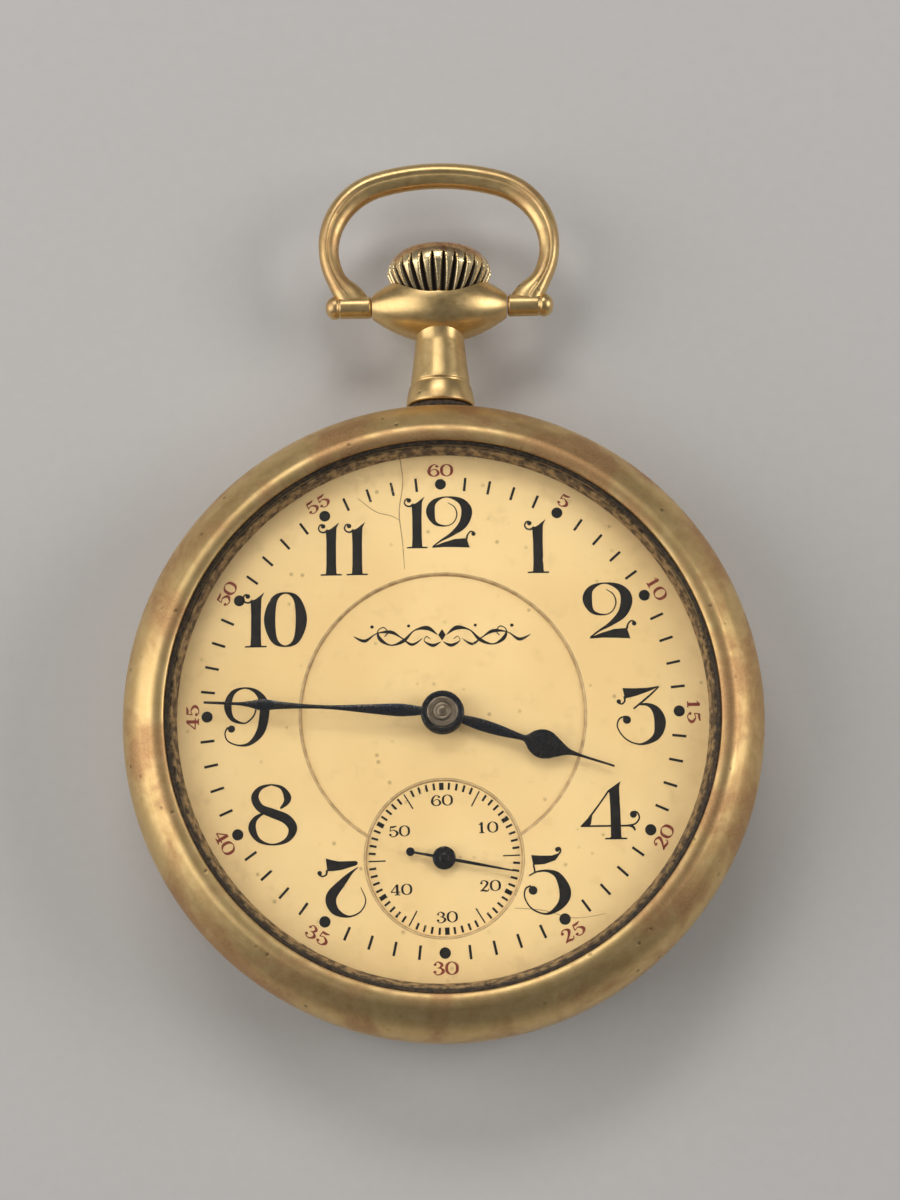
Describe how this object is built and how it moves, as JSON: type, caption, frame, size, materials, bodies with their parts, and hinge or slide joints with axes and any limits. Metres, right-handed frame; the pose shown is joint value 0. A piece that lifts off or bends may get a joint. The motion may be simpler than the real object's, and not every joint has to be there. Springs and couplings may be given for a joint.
{
  "type": "pocket watch",
  "caption": "Open face pocket watch with a sunk enamel dial, spade hands, a fluted crown, a swinging bow and a complete going movement inside.",
  "frame": {"origin": "centre of the flat that the case back rests on, on the axis of the hands", "axes": "+Z out of the dial towards the viewer, +Y from the hands' axis to twelve o'clock and the crown, +X to three o'clock"},
  "size_m": [0.0508, 0.0724, 0.0127],
  "materials": {
    "worn_gold": "satin, worn",
    "crystal": "polished",
    "enamel": "aged cream enamel",
    "blued_steel": "blued",
    "nickel_plate": "nickelled, satin",
    "gilt_brass": "gilt",
    "polished_steel": "polished",
    "ruby": "polished",
    "copper": "plain"
  },
  "bodies": {
    "case": {"case_band": "worn_gold", "pendant": "worn_gold", "pendant_sleeve": "polished_steel", "main_plate": "nickel_plate", "barrel_bridge": "nickel_plate", "train_bridge": "nickel_plate", "pallet_bridge": "nickel_plate", "balance_cock": "nickel_plate", "plate_jewels": "ruby", "train_bridge_jewels": "ruby", "pallet_bridge_jewels": "ruby", "balance_jewels": "ruby", "bridge_screws": "polished_steel", "case_screws": "polished_steel", "hairspring": "blued_steel", "hairspring_stud": "polished_steel", "crown_wheel_screw": "polished_steel", "click_spring": "polished_steel", "dial_ring": "enamel", "dial_center": "enamel", "dial_seconds": "enamel", "dial_feet": "copper"},
    "back": {"case_back": "worn_gold"},
    "bezel": {"bezel": "worn_gold", "crystal": "crystal"},
    "bow": {"bow": "worn_gold"},
    "winding_arbor": {"winding_arbor": "polished_steel"},
    "crown": {"crown": "worn_gold", "case_stem": "polished_steel"},
    "clutch": {"clutch": "polished_steel"},
    "winding_pinion": {"winding_pinion": "polished_steel"},
    "crown_wheel": {"crown_wheel": "polished_steel"},
    "ratchet": {"ratchet_wheel": "polished_steel", "barrel_arbor": "polished_steel", "ratchet_screw": "polished_steel"},
    "click": {"click": "polished_steel"},
    "clutch_lever": {"clutch_lever": "polished_steel"},
    "setting_lever": {"setting_lever": "polished_steel"},
    "barrel": {"barrel_drum": "gilt_brass", "barrel_cover": "gilt_brass", "mainspring": "polished_steel"},
    "centre": {"center_wheel": "gilt_brass", "cannon_pinion": "polished_steel", "minute_hand": "blued_steel"},
    "third": {"third_wheel": "gilt_brass"},
    "fourth": {"fourth_wheel": "gilt_brass", "seconds_hand": "blued_steel"},
    "escape": {"escape_wheel": "polished_steel"},
    "lever": {"pallet_fork": "polished_steel", "pallet_stones": "ruby"},
    "balance": {"balance_wheel": "gilt_brass", "balance_staff": "polished_steel", "timing_screws": "polished_steel"},
    "regulator": {"regulator": "polished_steel"},
    "minute_work": {"minute_wheel": "gilt_brass"},
    "setting_wheel": {"setting_wheel": "polished_steel"},
    "hour_work": {"hour_wheel": "gilt_brass", "hour_hand": "blued_steel"}
  },
  "joints": [
    {"name": "bow_swing", "type": "hinge", "parent": "case", "child": "bow", "pos_m": [0, 0.03465, 0.0054], "axis": [1, 0, 0], "range_deg": [-120, 120]},
    {"name": "back_off", "type": "slide", "parent": "case", "child": "back", "axis": [0, 0, -1], "range_m": [0, 0.008]},
    {"name": "bezel_off", "type": "slide", "parent": "case", "child": "bezel", "axis": [0, 0, 1], "range_m": [0, 0.01]},
    {"name": "crown_turn", "type": "hinge", "parent": "case", "child": "winding_arbor", "pos_m": [0, 0, 0.0054], "axis": [0, 1, 0], "continuous": true},
    {"name": "crown_pull", "type": "slide", "parent": "winding_arbor", "child": "crown", "axis": [0, 1, 0], "range_m": [0, 0.0008]},
    {"name": "clutch_slide", "type": "slide", "parent": "winding_arbor", "child": "clutch", "axis": [0, -1, 0], "range_m": [0, 0.0008]},
    {"name": "winding_pinion_turn", "type": "hinge", "parent": "case", "child": "winding_pinion", "pos_m": [0, 0, 0.0054], "axis": [0, 1, 0], "continuous": true},
    {"name": "crown_wheel_turn", "type": "hinge", "parent": "case", "child": "crown_wheel", "pos_m": [0, 0.01215, 0], "axis": [0, 0, 1], "continuous": true},
    {"name": "ratchet_turn", "type": "hinge", "parent": "case", "child": "ratchet", "pos_m": [-0.00754, 0.00528, 0], "axis": [0, 0, 1], "continuous": true},
    {"name": "click_rock", "type": "hinge", "parent": "case", "child": "click", "pos_m": [-0.01496, 0.00257, 0], "axis": [0, 0, 1], "range_deg": [-8, 0]},
    {"name": "clutch_lever_rock", "type": "hinge", "parent": "case", "child": "clutch_lever", "pos_m": [0.0042, 0.01427, 0], "axis": [0, 0, 1], "range_deg": [0, 10.93]},
    {"name": "setting_lever_rock", "type": "hinge", "parent": "case", "child": "setting_lever", "pos_m": [0.0044, 0.0184, 0], "axis": [0, 0, 1], "range_deg": [-10.77, 0]},
    {"name": "centre_turn", "type": "hinge", "parent": "case", "child": "centre", "pos_m": [0, 0, 0], "axis": [0, 0, -1], "continuous": true},
    {"name": "barrel_turn", "type": "hinge", "parent": "case", "child": "barrel", "pos_m": [-0.00754, 0.00528, 0], "axis": [0, 0, -1], "continuous": true},
    {"name": "third_turn", "type": "hinge", "parent": "case", "child": "third", "pos_m": [-0.0025, -0.00627, 0], "axis": [0, 0, -1], "continuous": true},
    {"name": "fourth_turn", "type": "hinge", "parent": "case", "child": "fourth", "pos_m": [0, -0.0112, 0], "axis": [0, 0, -1], "continuous": true},
    {"name": "escape_turn", "type": "hinge", "parent": "case", "child": "escape", "pos_m": [0.00522, -0.01039, 0], "axis": [0, 0, -1], "continuous": true},
    {"name": "lever_rock", "type": "hinge", "parent": "case", "child": "lever", "pos_m": [0.00735, -0.00766, 0], "axis": [0, 0, 1], "range_deg": [-5, 5]},
    {"name": "balance_swing", "type": "hinge", "parent": "case", "child": "balance", "pos_m": [0.0099, -0.0044, 0], "axis": [0, 0, 1], "range_deg": [-135, 135]},
    {"name": "regulator_turn", "type": "hinge", "parent": "case", "child": "regulator", "pos_m": [0.0099, -0.0044, 0], "axis": [0, 0, 1], "range_deg": [-12, 12]},
    {"name": "minute_wheel_turn", "type": "hinge", "parent": "case", "child": "minute_work", "pos_m": [0.00225, 0.00424, 0], "axis": [0, 0, -1], "continuous": true},
    {"name": "setting_wheel_turn", "type": "hinge", "parent": "case", "child": "setting_wheel", "pos_m": [0, 0.0098, 0], "axis": [0, 0, -1], "continuous": true},
    {"name": "hour_turn", "type": "hinge", "parent": "case", "child": "hour_work", "pos_m": [0, 0, 0], "axis": [0, 0, -1], "continuous": true}
  ],
  "couplings": [
    {"joint": "clutch_slide", "follows": "crown_pull", "ratio": 1},
    {"joint": "clutch_lever_rock", "follows": "crown_pull", "rad_per_m": 237.38},
    {"joint": "setting_lever_rock", "follows": "crown_pull", "rad_per_m": -233.84},
    {"joint": "winding_pinion_turn", "follows": "crown_turn", "ratio": 1},
    {"joint": "crown_wheel_turn", "follows": "crown_turn", "ratio": 0.43333},
    {"joint": "ratchet_turn", "follows": "crown_turn", "ratio": -0.34211},
    {"joint": "barrel_turn", "follows": "centre_turn", "ratio": -0.15},
    {"joint": "third_turn", "follows": "centre_turn", "ratio": -8},
    {"joint": "fourth_turn", "follows": "centre_turn", "ratio": 60},
    {"joint": "escape_turn", "follows": "centre_turn", "ratio": -600},
    {"joint": "minute_wheel_turn", "follows": "centre_turn", "ratio": -0.33333},
    {"joint": "setting_wheel_turn", "follows": "centre_turn", "ratio": 0.5},
    {"joint": "hour_turn", "follows": "centre_turn", "ratio": 0.083333}
  ]
}
